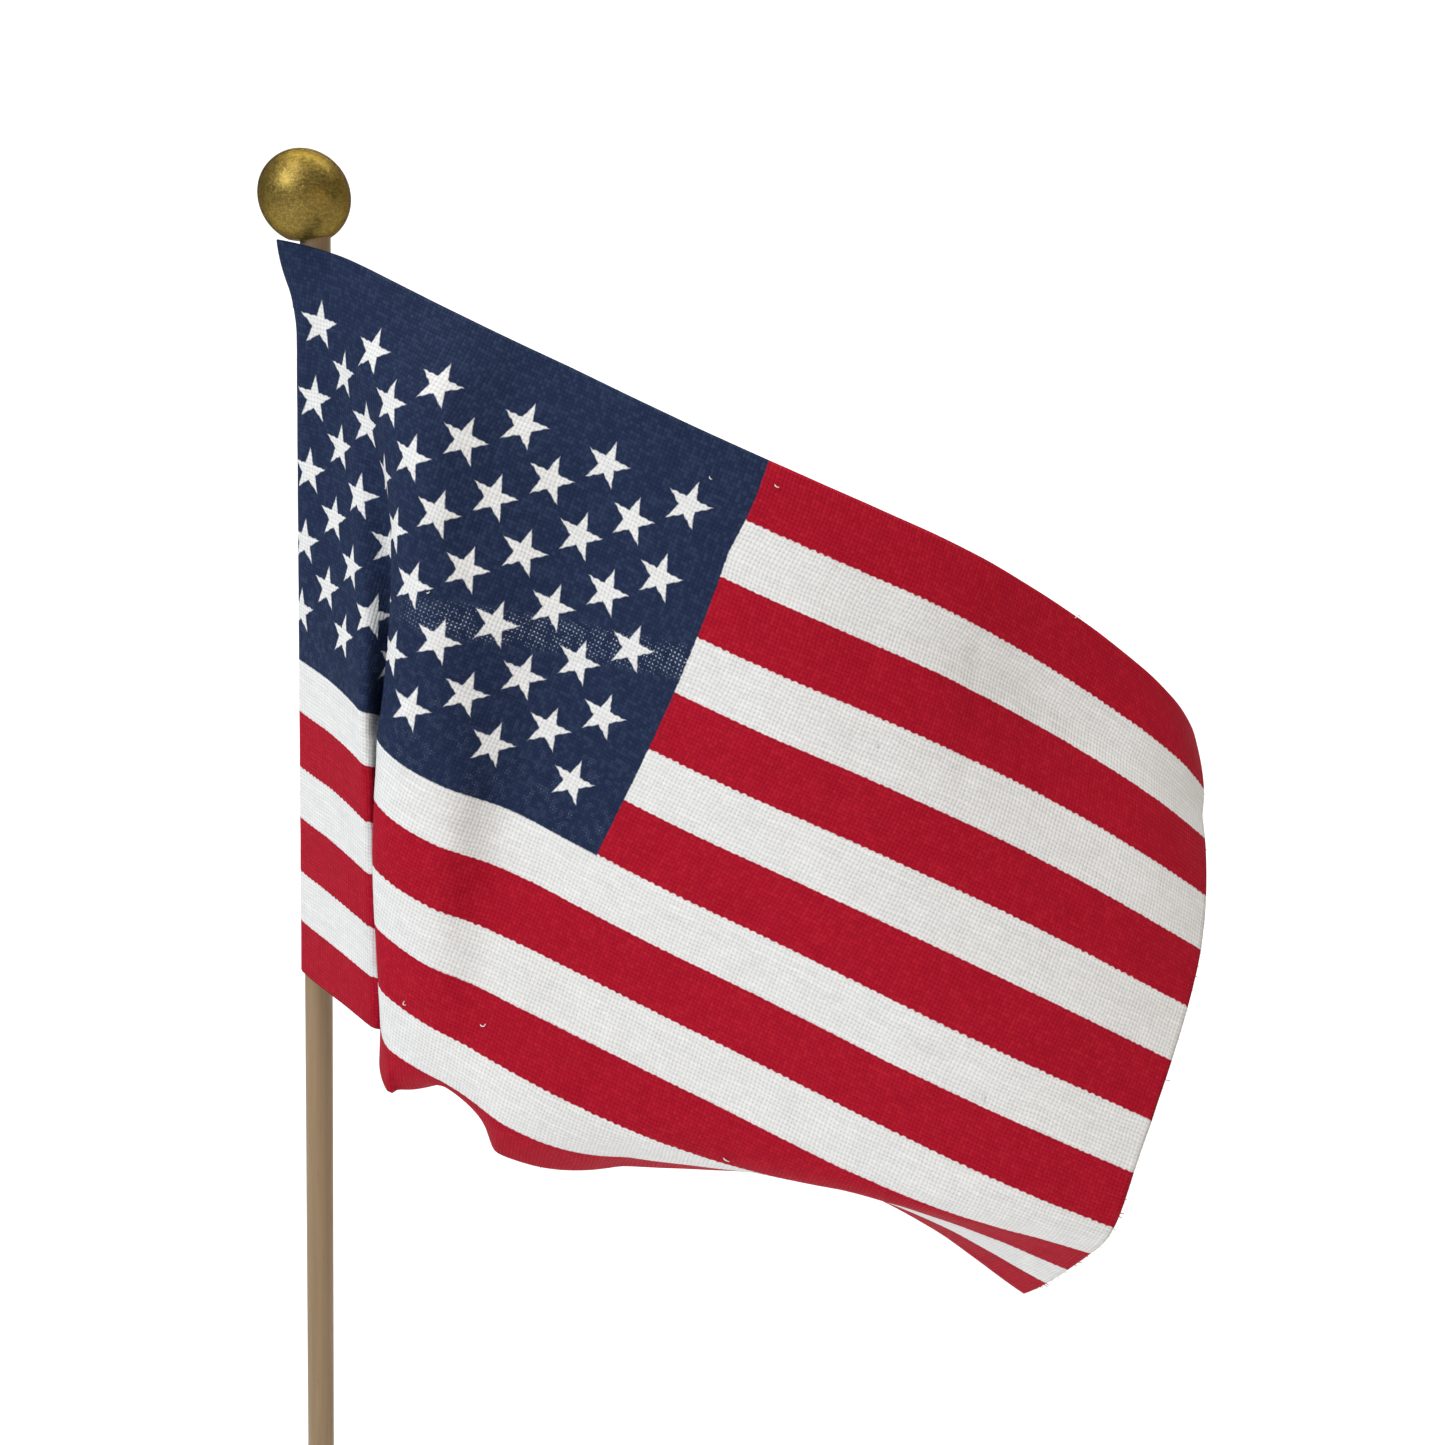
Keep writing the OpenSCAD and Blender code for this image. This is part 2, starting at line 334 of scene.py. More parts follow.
def cotton_print(name, back=False):
    g = Graph(name)
    u, v, _ = g.split(g.uv("Cloth"))
    x = g.mul(u, FLY)
    y = g.mul(v, FLY)
    flat = g.vector(x, y)
    # slow wander of the threads, and the unevenness of single threads
    wander_x = g.mul(g.sub(g.noise(flat, 0.12, 2.0), 0.5), 0.9)
    wander_y = g.mul(g.sub(g.noise(flat, 0.17, 2.0), 0.5), 0.9)
    a = g.math("DIVIDE", g.add(x, wander_x), WARP)
    b = g.math("DIVIDE", g.add(y, wander_y), WEFT)
    warp_no = g.math("FLOOR", a)
    weft_no = g.math("FLOOR", b)
    across_warp = g.sub(g.math("FRACT", a), 0.5)
    across_weft = g.sub(g.math("FRACT", b), 0.5)
    warp_fat = g.noise(g.vector(warp_no, g.mul(y, 0.15)), 1.7, 1.0)
    weft_fat = g.noise(g.vector(g.mul(x, 0.15), weft_no), 2.3, 1.0)
    warp_round = g.sub(1.0, g.mul(g.mul(across_warp, across_warp), g.sub(5.2, g.mul(warp_fat, 3.2))))
    weft_round = g.sub(1.0, g.mul(g.mul(across_weft, across_weft), g.sub(5.2, g.mul(weft_fat, 3.2))))
    warp_over = g.math("COSINE", g.mul(g.add(g.sub(b, 0.5), warp_no), math.pi))
    weft_over = g.mul(g.math("COSINE", g.mul(g.add(g.sub(a, 0.5), weft_no), math.pi)), -1.0)
    warp_z = g.add(g.mul(warp_round, 0.55), g.mul(warp_over, 0.45))
    weft_z = g.add(g.mul(weft_round, 0.55), g.mul(weft_over, 0.45))
    height = g.math("MAXIMUM", warp_z, weft_z)
    covered = g.math("MAXIMUM", warp_round, weft_round)

    # the print's edges step from thread to thread
    ragged = g.mul(g.sub(g.noise(flat, 1.6, 2.0), 0.5), 0.55)
    tooth = g.mul(g.math("COSINE", g.mul(a, math.pi)), g.step(g.noise(flat, 0.5, 2.0), 0.3, 0.65, 0.35, 1.0))
    middle = g.math("WRAP", g.sub(y, 3.9), STRIPE / 2, -STRIPE / 2)
    lower_edge = g.step(middle, -0.5, 0.5)
    edge = g.add(g.sub(g.math("ABSOLUTE", middle), RED_HALF),
                 g.add(g.mul(tooth, g.add(0.04, g.mul(lower_edge, 0.05))), g.mul(ragged, 0.5)))
    red = g.step(edge, 0.09, -0.09)
    canton_edge = g.math("MAXIMUM", g.sub(x, CANTON[0]), g.sub(y, CANTON[1]))
    navy = g.step(g.add(canton_edge, g.mul(ragged, 0.5)), 0.1, -0.1)
    sx = g.add(x, g.mul(ragged, 0.45))
    sy = g.add(y, g.mul(tooth, 0.07))
    stars = g.math("MINIMUM", star_distance(g, sx, sy, STAR_X, STAR_Y, 5.0, 4.0),
                   star_distance(g, sx, sy, STAR_X + STAR_DX / 2, STAR_Y + STAR_DY / 2, 4.0, 3.0))
    star = g.step(stars, 0.1, -0.1)

    # ink: denser and lighter patches, and single thread tops that took less of it
    blotch = g.noise(flat, 0.35, 3.0, 0.6)
    cell = g.random(g.vector(warp_no, weft_no))
    streak = g.noise(g.vector(g.mul(x, 0.12), g.mul(weft_no, 0.9)), 1.0, 2.0, 0.6)
    white_ink = g.mix(blotch, rgb(*INKS["white"][0]), rgb(*INKS["white"][1]))
    red_ink = g.mix(blotch, rgb(*INKS["red"][0]), rgb(*INKS["red"][1]))
    red_ink = g.mix(g.step(cell, 0.5, 1.0, 0.0, 0.16), red_ink, rgb(188, 44, 48))
    navy_ink = g.mix(blotch, rgb(*INKS["navy"][0]), rgb(*INKS["navy"][1]))
    navy_ink = g.mix(g.step(cell, 0.3, 1.0, 0.0, 0.15), navy_ink, rgb(72, 86, 116))
    stripes = g.mix(red, white_ink, red_ink)
    field = g.mix(star, navy_ink, white_ink)
    colour = g.mix(navy, stripes, field)
    # painted shade in the open corners between threads and on the low parts of the weave; thin and fat
    # threads
    gap_shade = g.step(covered, 0.6, 0.1, 0.0, 0.34)
    shade = g.add(g.sub(1.0, gap_shade), g.step(height, 0.3, 1.0, -0.12, 0.02))
    shade = g.add(shade, g.mul(g.sub(streak, 0.5), 0.2))
    shade = g.add(shade, g.mul(g.sub(cell, 0.5), 0.06))
    colour = g.mix(1.0, colour, g.vector(shade, shade, shade), "MULTIPLY")
    # painted glints: pale bluish specks between the inked threads along the slant crease, and specks of
    # light through the weave lower down the starred field
    glint_specks = g.math("ABSOLUTE", g.sub(y, g.sub(46.5, g.mul(x, 0.267))))
    glint_specks = g.mul(g.step(glint_specks, 2.9, 0.8), g.step(x, 33.0, 44.0))
    glint_specks = g.mul(g.mul(glint_specks, g.step(covered, 0.8, 0.45)), g.step(cell, 0.3, 0.6))
    pinhole_light = g.mul(g.step(covered, 0.7, 0.4), g.step(cell, 0.8, 1.0))
    glint_specks = g.add(glint_specks, g.mul(pinhole_light, g.step(y, 36.0, 52.0, 0.0, 0.35)))
    colour = g.mix(g.mul(g.mul(glint_specks, navy), 0.8), colour, rgb(188, 196, 208))
    if back:
        colour = g.mix(0.04, colour, rgb(205, 203, 203))
    fuzz = g.noise(g.vector(g.mul(x, 6.0), g.mul(y, 1.6)), 1.0, 3.0, 0.6)
    normal = g.bump(height, 0.12 * MM, 0.8)
    normal = g.bump(fuzz, 0.03 * MM, 0.5, under=normal)
    return g.finish(color=colour, rough=g.step(height, 0.2, 1.0, 0.95, 0.75), normal=normal,
                    specular=0.1)


# ---- Other materials

def gilt_paint():
    g = Graph("gilt_paint")
    at = g.object_coords()
    warp = g.noise(at, 700, 3.0, 0.6)
    x, y, z = g.split(at)
    bent = g.vector(g.add(g.mul(x, 1500.0), g.mul(warp, 5.0)), g.add(g.mul(y, 1500.0), g.mul(warp, 3.0)),
                    g.mul(z, 1500.0))
    hairs = g.math("ABSOLUTE", g.sub(g.noise(bent, 1.0, 3.0, 0.65), 0.5))
    hairs = g.step(hairs, 0.05, 0.0)
    grain = g.noise(at, 3200, 3.0, 0.7)
    pools = g.noise(at, 260, 3.0, 0.55)
    colour = g.ramp(g.add(g.mul(pools, 0.5), g.mul(grain, 0.5)),
                    [(0.3, rgb(108, 92, 46)), (0.52, rgb(122, 104, 54)), (0.72, rgb(138, 119, 64))])
    # painted highlight: the hair-line brush strokes are lightened towards bright gold; their bump below is
    # the paint's own texture
    colour = g.mix(g.mul(hairs, 0.4), colour, rgb(206, 178, 92))
    rough = g.add(g.step(grain, 0.3, 0.7, 0.34, 0.42), g.mul(pools, 0.06))
    normal = g.bump(hairs, 0.016 * MM, 0.5)
    normal = g.bump(grain, 0.006 * MM, 0.5, under=normal)
    normal = g.bump(g.noise(at, 420, 2.0), 0.05 * MM, 0.4, under=normal)
    return g.finish(color=colour, rough=rough, metal=0.85, normal=normal, specular=0.5,
                    tint=rgb(80, 62, 26))


def dowel_wood():
    g = Graph("dowel_wood")
    at = g.object_coords()
    fibres = g.noise(g.stretched(at, (2600, 2600, 70)), 1.0, 4.0, 0.6)
    rings = g.noise(g.stretched(at, (500, 500, 12)), 1.0, 3.0, 0.5)
    pores = g.noise(g.stretched(at, (5200, 5200, 260)), 1.0, 2.0, 0.5)
    # the wood's tones are set darker than the bare dowel, as painted shade for the neck in the ball's shadow
    colour = g.ramp(rings, [(0.3, rgb(130, 109, 81)), (0.55, rgb(143, 121, 92)), (0.75, rgb(114, 92, 66))])
    colour = g.mix(g.step(fibres, 0.5, 0.75, 0.0, 0.4), colour, rgb(140, 110, 76))
    colour = g.mix(g.step(pores, 0.66, 0.74, 0.0, 0.5), colour, rgb(98, 74, 48))
    normal = g.bump(fibres, 0.05 * MM, 0.6)
    normal = g.bump(pores, 0.04 * MM, 0.5, under=normal)
    return g.finish(color=colour, rough=g.step(fibres, 0.3, 0.7, 0.55, 0.72), normal=normal, specular=0.4)


def moulded_black():
    g = Graph("moulded_black")
    at = g.object_coords()
    pebble = g.noise(at, 1500, 3.0, 0.6)
    dust = g.noise(at, 900, 4.0, 0.7)
    rubbed = g.noise(g.stretched(at, (60, 60, 220)), 1.0, 3.0, 0.6)
    colour = g.mix(g.step(dust, 0.62, 0.8, 0.0, 0.25), rgb(22, 22, 24), rgb(70, 69, 66))
    rough = g.add(g.step(rubbed, 0.35, 0.7, 0.26, 0.42), g.mul(dust, 0.08))
    normal = g.bump(pebble, 0.02 * MM, 0.45)
    return g.finish(color=colour, rough=rough, normal=normal, coat=0.15, coat_rough=0.2)


def spun_brass():
    g = Graph("spun_brass")
    x, y, z = g.split(g.object_coords())
    radius = g.math("SQRT", g.add(g.mul(x, x), g.mul(y, y)))
    lathe = g.noise(g.vector(g.mul(radius, 9000.0), g.mul(z, 9000.0)), 1.0, 3.0, 0.6)
    tarnish = g.noise(g.object_coords(), 600, 3.0, 0.6)
    colour = g.mix(g.step(tarnish, 0.4, 0.75), rgb(206, 168, 88), rgb(150, 112, 52))
    normal = g.bump(lathe, 0.02 * MM, 0.5)
    return g.finish(color=colour, rough=g.step(lathe, 0.3, 0.7, 0.24, 0.4), metal=1.0, normal=normal)


def pressed_felt():
    g = Graph("pressed_felt")
    at = g.object_coords()
    fibre = g.noise(at, 1800, 5.0, 0.75)
    clump = g.noise(at, 500, 3.0, 0.6)
    colour = g.mix(fibre, rgb(16, 52, 36), rgb(40, 92, 66))
    colour = g.mix(g.step(clump, 0.5, 0.8, 0.0, 0.4), colour, rgb(24, 66, 46))
    normal = g.bump(fibre, 0.2 * MM, 0.9)
    return g.finish(color=colour, rough=0.95, normal=normal, sheen=0.5, sheen_rough=0.6)


def bare_steel(name, light):
    g = Graph(name)
    at = g.object_coords()
    drawn = g.noise(g.stretched(at, (5000, 5000, 400)), 1.0, 3.0, 0.6)
    spots = g.noise(at, 900, 3.0, 0.6)
    dull = rgb(light - 50, light - 54, light - 56)
    colour = g.mix(g.step(spots, 0.55, 0.8), rgb(light, light, light + 4), dull)
    normal = g.bump(drawn, 0.02 * MM, 0.4)
    return g.finish(color=colour, rough=g.step(drawn, 0.3, 0.7, 0.22, 0.4), metal=1.0, normal=normal)


front_print = cotton_print("flag_cotton_front")
back_print = cotton_print("flag_cotton_back", back=True)


# ---- The drape: a path walked along the cloth from the hoist to the fly

WRAP_GAP = 0.12             # cloth to staff
CAD_HALF_T = 0.25           # half the thickness of the cloth's CAD solid
WRAP_R = staff_r / MM + WRAP_GAP + CAD_HALF_T
FLAG_TOP = cloth_high[2] / MM

# Each station: distance along the cloth, then heading towards the front from +X in
# degrees, each at the four HEIGHTS: top edge, shoulder, canton's foot and hem.
# The stations, dips and roll below are rounded results of a least-squares fit, not
# values chosen by hand.
HEIGHTS = (0, 12, 54.7, HOIST)
STATIONS = (
    ((0, 0, 0, 0), (11, 145, 232, 283)),                    # hoist edge
    ((4.5, 5.5, 7.6, 9.6), (5, 11, 47, 50)),                # the cloth leaves the staff
    ((8, 13, 27, 28), (19, 55, 57, 39)),                    # crest of the first panel
    ((9.5, 14.5, 28.5, 31.5), (26, 54, -74, -153)),         # tucks back behind it
    ((11, 16, 31.5, 39), (29, 49, -81, -58)),
    ((12.5, 17.5, 35, 41), (27, 49, 104, 100)),             # second panel comes forward
    ((15, 20, 36.5, 54), (23, 41, 150, 49)),
    ((29.5, 30.5, 38.5, 57.5), (18, 24, 58, 20)),
    ((31, 32, 54.5, 63.5), (14, 4, -28, 31)),               # the broad face
    ((35, 45.5, 55.5, 70), (9, -7, -22, 37)),
    ((48, 58, 64.5, 91.5), (20, 21, 17, 2)),
    ((107.5, 110.5, 116.5, 126), (-21, -24, 10, 17)),
    ((133.5, 133, 140.5, 142.5), (-19, -7, -6, 16)),
    ((153, 153, 153, 153), (-64, -43, -7, 11)),             # fly edge
)
# How far the weft dips below level, by distance along the cloth, at the same heights
DIP = (
    (0, (7, 10, 10, 7.5)),
    (15, (21, 15, 7, 3)),
    (40, (21, 22, 23, 21)),
    (90, (20, 20.5, 18.5, 21.5)),
    (153, (41, 35, 25, 12.5)),
)
# The lower edge rolls under along a straight crease
ROLL_U = (54, 62, 72, 90, 118, 153)
ROLL_DEG = (25, 81, 36, 67, 77, 63)
ROLL_AT = (90, 86.3)        # a point on the crease: from the hoist, down from the top
ROLL_SLOPE = -0.26
ROLL_LEAD, ROLL_W = 5, 12   # cloth above the crease, and in all, that the bend takes up
ROLL_AXIS_DIP = 26


def at_height(four, y):
    return np.interp(y, HEIGHTS, four)


def walked(columns, rows):
    """Cloth points (columns+1, rows+1, 3) in mm, straight from the stations."""
    strides = columns * 4
    step = FLY / strides
    here = (np.arange(strides) + 0.5) * step
    grid = np.zeros((columns + 1, rows + 1, 3))
    for j, y in enumerate(np.linspace(0, HOIST, rows + 1)):
        stops = [at_height(s[0], y) for s in STATIONS]
        turns = [at_height(s[1], y) for s in STATIONS]
        heading = np.radians(np.interp(here, stops, turns))
        dip = np.radians(np.interp(here, [d[0] for d in DIP], [at_height(d[1], y) for d in DIP]))
        strides_xyz = step * np.stack([np.cos(dip) * np.cos(heading), -np.cos(dip) * np.sin(heading),
                                       -np.sin(dip)], -1)
        path = np.concatenate([np.zeros((1, 3)), np.cumsum(strides_xyz, 0)])
        ends = np.linspace(0, FLY, strides + 1)
        leave = [np.interp(stops[1], ends, path[:, k]) for k in range(2)]
        a = math.radians(turns[1])
        start = np.array([-WRAP_R * math.sin(a) - leave[0], -WRAP_R * math.cos(a) - leave[1],
                          FLAG_TOP - y])
        grid[:, j] = path[::4] + start
    return grid


def rolled_under(grid):
    columns, rows = grid.shape[0] - 1, grid.shape[1] - 1
    u = np.linspace(0, FLY, columns + 1)
    amount = np.interp(u, ROLL_U, ROLL_DEG) * (u > ROLL_U[0])
    dip = math.radians(ROLL_AXIS_DIP)
    axis = np.array([math.cos(dip), 0, -math.sin(dip)])
    out = grid.copy()
    for j in range(rows):
        y = (j + 0.5) * HOIST / rows
        t = np.clip((y - ROLL_AT[1] - ROLL_SLOPE * (u - ROLL_AT[0]) + ROLL_LEAD) / ROLL_W, 0, 1)
        angle = np.radians(amount * t * t * (3 - 2 * t))[:, None]
        edge = grid[:, j + 1] - grid[:, j]
        out[:, j + 1] = out[:, j] + (edge * np.cos(angle) + np.cross(axis, edge) * np.sin(angle)
                                     + axis * (edge @ axis)[:, None] * (1 - np.cos(angle)))
    return out


def pull(points, near, far, length, gain=1.0):
    """Moves each pair of points towards its flat distance apart."""
    d = points[far] - points[near]
    size = np.linalg.norm(d, axis=-1, keepdims=True)
    shift = d * (0.5 * gain * (size - length) / np.maximum(size, 1e-9))
    points[near] += shift
    points[far] -= shift


def relaxed(points, rounds, hold, smooth):
    """Eases the cloth to its flat thread lengths, near the walked shape and clear of the staff."""
    columns, rows = points.shape[0] - 1, points.shape[1] - 1
    du, dv = FLY / columns, HOIST / rows
    diagonal = math.hypot(du, dv)
    aim = points.copy()
    points = points.copy()
    for n in range(rounds):
        for odd in (0, 1):
            a = slice(odd, columns, 2)
            b = slice(odd + 1, columns + 1, 2)
            pull(points, (a, slice(None)), (b, slice(None)), du)
            c = slice(odd, rows, 2)
            e = slice(odd + 1, rows + 1, 2)
            pull(points, (slice(None), c), (slice(None), e), dv)
            for c0 in (0, 1):
                c = slice(c0, rows, 2)
                e = slice(c0 + 1, rows + 1, 2)
                pull(points, (a, c), (b, e), diagonal, 0.4)
                pull(points, (b, c), (a, e), diagonal, 0.4)
        points[1:-1] += smooth * (points[2:] + points[:-2] - 2 * points[1:-1])
        points[:, 1:-1] += smooth * (points[:, 2:] + points[:, :-2] - 2 * points[:, 1:-1])
        points += hold * (aim - points)
        out = np.hypot(points[..., 0], points[..., 1])
        push = np.maximum(WRAP_R / np.maximum(out, 1e-9), 1.0)
        points[..., 0] *= push
        points[..., 1] *= push
    return points


def normals_of(points):
    n = np.cross(np.gradient(points, axis=0), np.gradient(points, axis=1))
    return n / np.linalg.norm(n, axis=-1, keepdims=True)


# Soft folds and sharper creases left by handling: start and end on the flat cloth
# (from the hoist, down from the top edge), half width, and height towards the front
CREASES = (
    ((38, -4), (44, 38), 5.0, -0.95),        # soft valley down the starred field
    ((50, 48), (61, 90), 3.0, 0.4),          # and a step to the right below it
    ((57, 46), (67, 88), 3.2, -0.45),
    ((34, 38), (78, 25.5), 2.4, 0.3),        # slant ridge across the stars
    ((34, 55), (62, 47), 2.2, 0.12),
    ((80, 86), (87, 77), 1.3, -0.35),        # small dimple near the rolled edge
    ((90, 84), (96, 78), 1.6, 0.15),
    ((88, -3), (101, 44), 4.0, -0.2),
    ((106, 3), (112, 30), 1.6, -0.14),
    ((122, 40), (114, 84), 5.0, 0.18),
    ((136, 58), (150, 72), 2.0, -0.15),
    ((18, 60), (12, 96), 2.6, -0.15),        # across the first panel
)


def creased(points):
    u = np.linspace(0, FLY, points.shape[0])[:, None]
    v = np.linspace(0, HOIST, points.shape[1])[None, :]
    lift = np.zeros(points.shape[:2])
    for (u0, v0), (u1, v1), width, height in CREASES:
        length = math.hypot(u1 - u0, v1 - v0)
        along = ((u - u0) * (u1 - u0) + (v - v0) * (v1 - v0)) / length
        across = ((u - u0) * (v1 - v0) - (v - v0) * (u1 - u0)) / length
        ends = np.clip(np.minimum(along, length - along) / (3 * width), 0, 1)
        lift += height * np.exp(-(across / width) ** 2) * ends * ends * (3 - 2 * ends)
    # the limp hand of thin cotton
    lift += 0.10 * np.sin(u / 5.3 + 1.6 * np.sin(v / 11)) * np.sin(v / 8.1 + 1.1 * np.sin(u / 13 + 1))
    lift += 0.035 * np.sin(u / 1.9 + 2 * np.sin(v / 5)) * np.sin(v / 2.6 + 2 * np.sin(u / 7 + 2))
    lift *= np.clip((u - 10) / 10, 0, 1)
    return points - normals_of(points) * lift[..., None]


COLUMNS, ROWS = 228, 152
CLOTH_T = 0.3

draped = rolled_under(walked(COLUMNS, ROWS))
cloth_mid = creased(relaxed(draped, rounds=40, hold=0.22, smooth=0.12))


def cloth_piece():
    n = normals_of(cloth_mid)
    front = cloth_mid - n * CLOTH_T / 2
    back = cloth_mid + n * CLOTH_T / 2
    rows = ROWS + 1
    half = (COLUMNS + 1) * rows
    points = np.concatenate([front.reshape(-1, 3), back.reshape(-1, 3)]) * MM
    faces, slots = [], []
    for i in range(COLUMNS):
        for j in range(ROWS):
            a, b, c, d = i * rows + j, (i + 1) * rows + j, (i + 1) * rows + j + 1, i * rows + j + 1
            faces.append((a, d, c, b))
            faces.append((half + a, half + b, half + c, half + d))
            slots += [0, 1]
    rim = ([(i, 0) for i in range(COLUMNS)] + [(COLUMNS, j) for j in range(ROWS)]
           + [(i, ROWS) for i in range(COLUMNS, 0, -1)] + [(0, j) for j in range(ROWS, 0, -1)])
    for k, (i, j) in enumerate(rim):
        i2, j2 = rim[(k + 1) % len(rim)]
        a, b = i * rows + j, i2 * rows + j2
        faces.append((a, b, half + b, half + a))
        slots.append(0)
    piece = mesh_piece("flag", points, faces, [front_print, back_print], slots)
    layer = piece.data.uv_layers.new(name="Cloth")
    flat = np.stack(np.meshgrid(np.linspace(0, 1, COLUMNS + 1), np.linspace(0, HOIST / FLY, rows),
                                indexing="ij"), -1).reshape(-1, 2)
    flat = np.concatenate([flat, flat])
    index = np.zeros(len(piece.data.loops), int)
    piece.data.loops.foreach_get("vertex_index", index)
    layer.data.foreach_set("uv", flat[index].ravel())
    return piece


def cloth_at(u, v):
    """Point, front normal and the two thread directions at a place on the flat cloth."""
    i = min(int(u / FLY * COLUMNS), COLUMNS - 1)
    j = min(int(v / HOIST * ROWS), ROWS - 1)
    s, t = u / FLY * COLUMNS - i, v / HOIST * ROWS - j
    a, b, c, d = cloth_mid[i, j], cloth_mid[i + 1, j], cloth_mid[i, j + 1], cloth_mid[i + 1, j + 1]
    point = (a * (1 - s) + b * s) * (1 - t) + (c * (1 - s) + d * s) * t
    along, down = b - a, c - a
    along /= np.linalg.norm(along)
    down /= np.linalg.norm(down)
    out = -np.cross(along, down)
    return point, out / np.linalg.norm(out), along, down


def fray_piece():
    """Thread ends along the cut edges, and a few loose threads on the face."""
    draw = np.random.default_rng(11)
    points, faces, prints = [], [], []

    def add(path, radius, u, v, sides=5, taper=0.5):
        new_points, new_faces = tube(np.array(path) * MM, radius * MM, sides, taper)
        base = len(points)
        points.extend(new_points)
        faces.extend(tuple(base + k for k in face) for face in new_faces)
        prints.extend([(u / FLY, v / FLY)] * len(new_points))

    def edge_ends(count, place, outward, reach):
        for k in range(count):
            u, v = place((k + draw.random()) / count)
            point, out, along, down = cloth_at(u, v)
            away = outward(along, down)
            side = down if outward(1, 0) else along
            long = reach * (0.35 + draw.random() ** 3)
            bend = side * draw.normal(0, 0.3) + out * draw.normal(0, 0.3)
            add([point - away * 0.25 + (away * t + bend * t * t) * long for t in (0, 0.35, 0.7, 1)],
                0.075, u, v)

    edge_ends(150, lambda k: (FLY - 0.1, HOIST * k), lambda a, d: a, 0.75)
    edge_ends(110, lambda k: (36 + (FLY - 37) * k, HOIST - 0.1), lambda a, d: d, 0.4)
    edge_ends(90, lambda k: (10 + (FLY - 12) * k, 0.1), lambda a, d: -d, 0.3)

    # loose threads: place on the cloth, length, turn within the cloth in degrees
    for u, v, long, turn in ((120, 0.4, 1.5, 200), (75, 2.5, 0.9, 60), (66, 82, 1.3, 20),
                             (55, 85, 0.8, 100), (102, 85, 1.6, 250), (39, 33, 0.6, 10),
                             (99, 27, 0.8, 150), (130, 61, 1.0, 330), (67, 5, 0.7, 80)):
        point, out, along, down = cloth_at(u, v)
        path = []
        for t in np.linspace(0, 1, 7):
            a = math.radians(turn + 110 * t)
            path.append(point + out * (0.16 + 0.3 * math.sin(math.pi * t))
                        + (along * math.cos(a) + down * math.sin(a)) * long * 0.5 * (0.4 + 0.6 * t))
        add(path, 0.085, 140, 11.7, 6, 0.2)
    piece = mesh_piece("fray", points, faces, [front_print])
    layer = piece.data.uv_layers.new(name="Cloth")
    index = np.zeros(len(piece.data.loops), int)
    piece.data.loops.foreach_get("vertex_index", index)
    layer.data.foreach_set("uv", np.array(prints)[index].ravel())
    return piece


flag = cloth_piece()
fray = fray_piece()
for piece in (flag, fray):
    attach(piece, "flag")
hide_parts("flag_cloth")


# ---- Ball, with its slightly uneven hand-painted skin

def ball_piece():
    rings, turns = 72, 96
    flat_angle = math.acos((ball_centre[2] - ball_under) / ball_r)
    profile = [(0, ball_under)]
    profile += [(r * ball_r * math.sin(flat_angle), ball_under) for r in (0.5, 0.96)]
    for k in range(rings + 1):
        a = flat_angle + (math.pi - flat_angle) * k / rings
        profile.append((ball_r * math.sin(a), ball_centre[2] - ball_r * math.cos(a)))
    profile[-1] = (0, ball_high[2])
    piece = turned_piece("ball", profile, turns, [gilt_paint()])
    count = len(piece.data.vertices)
    co = np.zeros(count * 3)
    piece.data.vertices.foreach_get("co", co)
    co = co.reshape(-1, 3)
    away = (co - [0, 0, ball_centre[2]]) / ball_r
    x, y, z = away.T
    wobble = (np.sin(5 * x + 2) * np.sin(6 * z) + np.sin(9 * y + 4 * z)) / 2
    co[:, :2] *= (1 - 0.004 * (1 + wobble))[:, None]
    co[:, 0] += ball_centre[0]
    piece.data.vertices.foreach_set("co", co.ravel())
    return piece


ball = ball_piece()
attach(ball, "flag")
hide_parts("finial_ball")


# ---- Carried-over nodes and their materials

def dress(node, material):
    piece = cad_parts[node]
    piece.data.materials.clear()
    piece.data.materials.append(material)


dress("staff", dowel_wood())
dress("base_shell", moulded_black())
dress("base_weight", bare_steel("ballast_steel", 176))
dress("base_pad", pressed_felt())
dress("socket_cup", spun_brass())
dress("hoist_staples", bare_steel("staple_wire", 226))


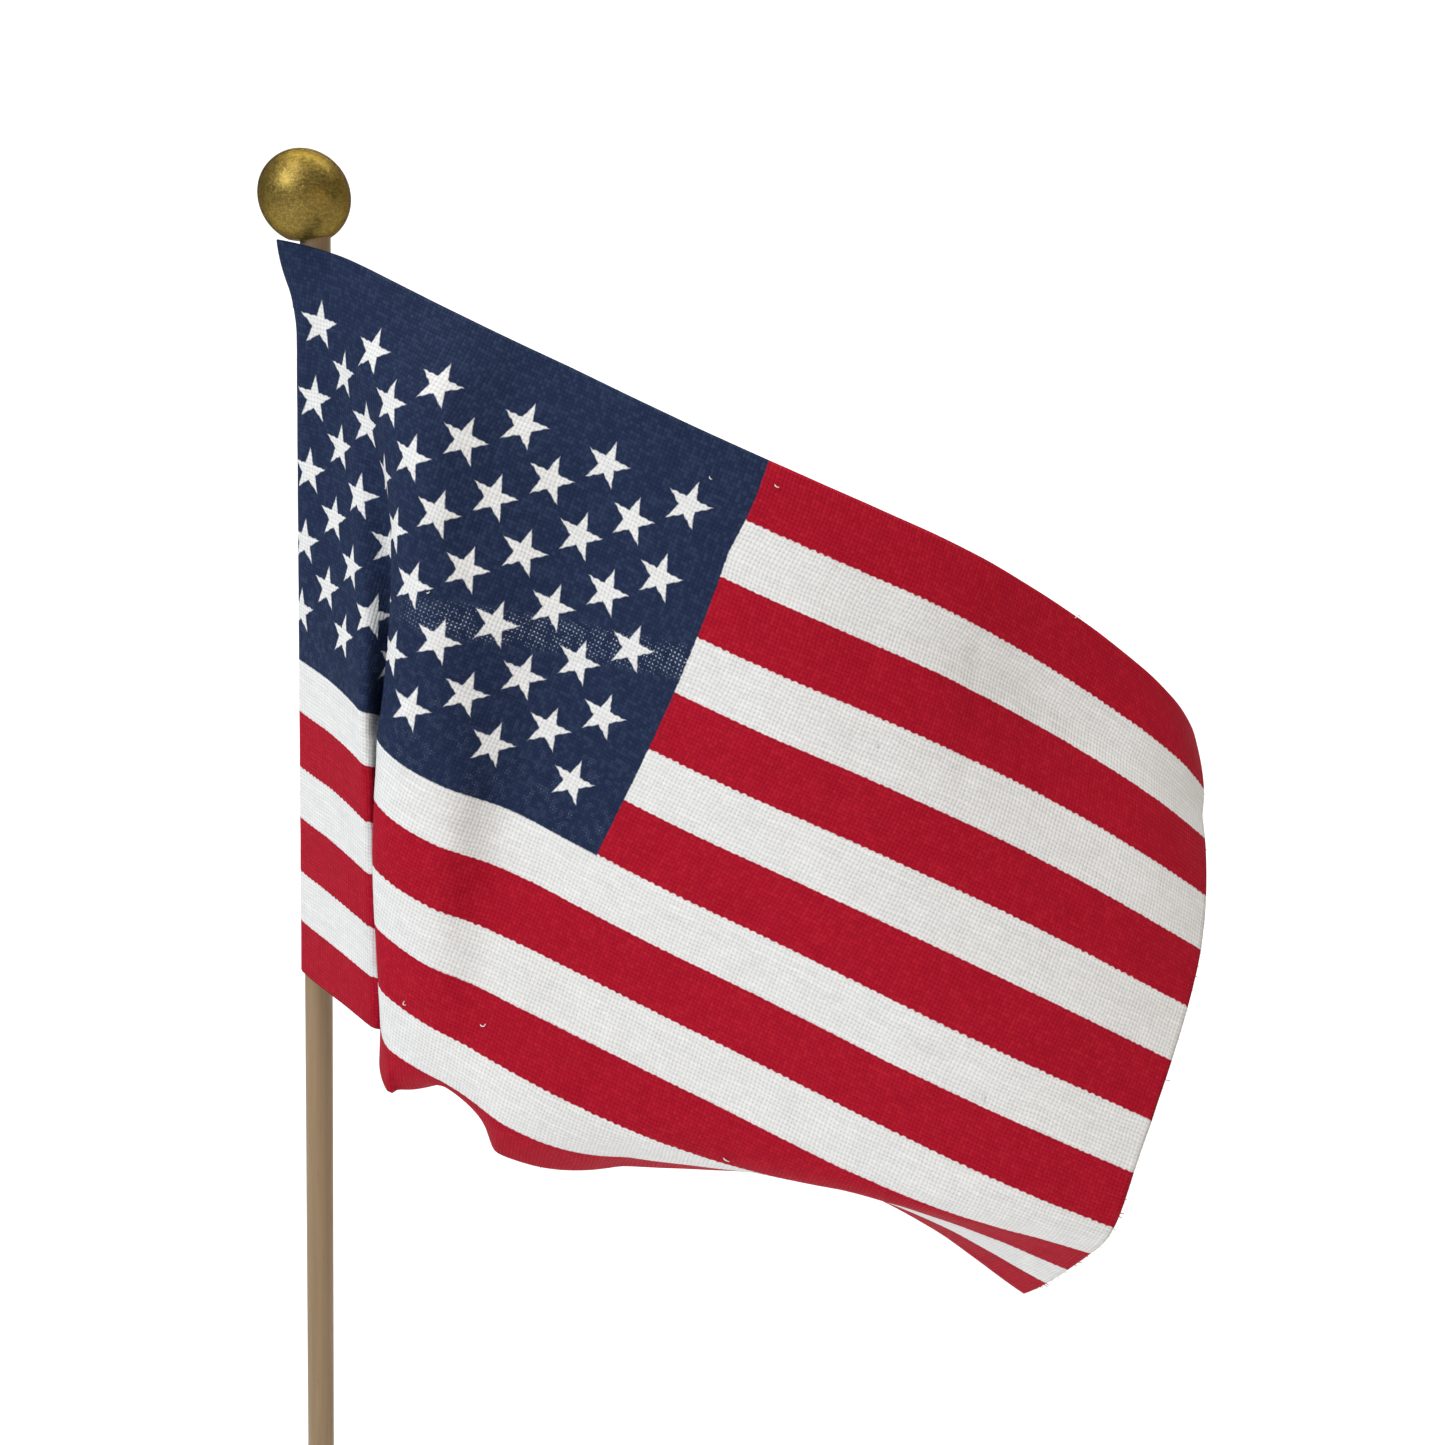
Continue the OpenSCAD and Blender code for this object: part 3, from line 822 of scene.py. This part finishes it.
# ---- Studio: a pale sweep, a window light from the upper left, a weak warm fill, a small
# light above the ball, and a light on the backdrop

def add_sweep():
    g = Graph("sweep_paper")
    tint = g.mix(g.noise(g.object_coords(), 3.0, 2.0), rgb(243, 243, 243), rgb(247, 247, 247))
    paper = g.finish(color=tint, rough=0.95)
    profile = [(-2.5, 0.0), (0.6, 0.0)]
    profile += [(0.6 + 0.8 * math.sin(a), 0.8 - 0.8 * math.cos(a)) for a in np.radians(range(10, 91, 10))]
    profile += [(1.4, 3.0)]
    points = [(x, y, z) for x in (-3.0, 3.0) for y, z in profile]
    n = len(profile)
    faces = [(k, k + n, k + n + 1, k + 1) for k in range(n - 1)]
    sweep = mesh_piece("sweep", points, faces, [paper])


def add_light(name, place, target, size, power, colour):
    data = bpy.data.lights.new(name, "AREA")
    data.shape = "RECTANGLE"
    data.size, data.size_y = size
    data.energy = power
    data.color = colour
    light = bpy.data.objects.new(name, data)
    bpy.context.scene.collection.objects.link(light)
    light.location = place
    light.rotation_euler = (Vector(target) - Vector(place)).to_track_quat("-Z", "Y").to_euler()


add_sweep()
flag_middle = (0.05, -0.02, float(ball_centre[2]) - 0.07)
add_light("window", (-0.48, -0.70, 0.78), flag_middle, (0.36, 0.36), 7.0, (0.96, 0.985, 1.0))
add_light("fill", (0.75, -0.6, 0.25), flag_middle, (0.5, 0.5), 1.1, (1.0, 0.7, 0.42))
above_ball = (-0.2, -0.26, float(ball_centre[2]) + 0.72)
add_light("top", above_ball, tuple(ball_centre), (0.26, 0.12), 2.0, (1.0, 0.96, 0.86))
add_light("backdrop", (0.1, 0.55, 1.5), (0.1, 1.2, 0.35), (1.6, 0.8), 24.0, (1.0, 1.0, 1.0))

world = bpy.data.worlds.new("studio")
world.use_nodes = True
world.node_tree.nodes["Background"].inputs["Color"].default_value = (1.0, 1.0, 1.0, 1.0)
world.node_tree.nodes["Background"].inputs["Strength"].default_value = 0.2
bpy.context.scene.world = world
bpy.context.scene.view_settings.view_transform = "Standard"
